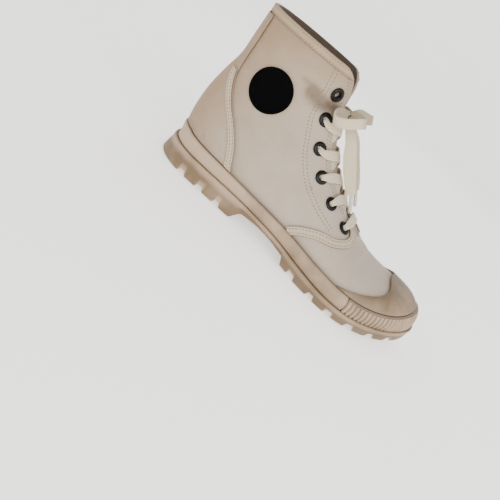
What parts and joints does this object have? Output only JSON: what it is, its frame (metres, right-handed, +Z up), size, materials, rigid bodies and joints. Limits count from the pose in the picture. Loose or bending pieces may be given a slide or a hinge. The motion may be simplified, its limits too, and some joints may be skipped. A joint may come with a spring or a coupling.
{
  "type": "lace-up ankle boot",
  "caption": "Canvas lace-up ankle boot for the right foot, with a rubber foxing band, a toe cap over a ribbed toe bumper, a lugged rubber sole and flat laces tied in a bow.",
  "frame": {"origin": "on the floor, under the middle of the boot's bounding box", "axes": "+X from heel to toe, +Y towards the foot's inner (medial) side, +Z up from the floor that heel and forefoot stand on"},
  "size_m": [0.2811, 0.1028, 0.1584],
  "materials": {
    "canvas": "matte woven cotton",
    "rubber": "matte, slightly dirty",
    "tape": "matte stitched tape",
    "lace": "flat woven cotton",
    "black_enamel": "gloss black",
    "black_rubber": "matte black, bare"
  },
  "bodies": {
    "root": {"outsole": "rubber", "foxing_band": "rubber", "toe_bumper": "rubber", "toe_cap": "rubber", "upper": "canvas", "tongue": "canvas", "insole": "canvas", "heel_counter": "canvas", "quarter_tape_lateral": "tape", "quarter_tape_medial": "tape", "collar_band": "tape", "ankle_badge": "black_rubber", "eyelet_lateral_1": "black_enamel", "eyelet_lateral_2": "black_enamel", "eyelet_lateral_3": "black_enamel", "eyelet_lateral_4": "black_enamel", "eyelet_lateral_5": "black_enamel", "eyelet_lateral_6": "black_enamel", "eyelet_medial_1": "black_enamel", "eyelet_medial_2": "black_enamel", "eyelet_medial_3": "black_enamel", "eyelet_medial_4": "black_enamel", "eyelet_medial_5": "black_enamel", "eyelet_medial_6": "black_enamel", "lace_crossing_2": "lace", "lace_crossing_3": "lace", "lace_crossing_4": "lace", "lace_crossing_5": "lace", "lace_bar": "lace", "lace_knot": "lace", "lace_loop_lateral": "lace", "lace_loop_medial": "lace", "lace_end_lateral": "lace", "lace_end_medial": "lace"}
  },
  "joints": []
}
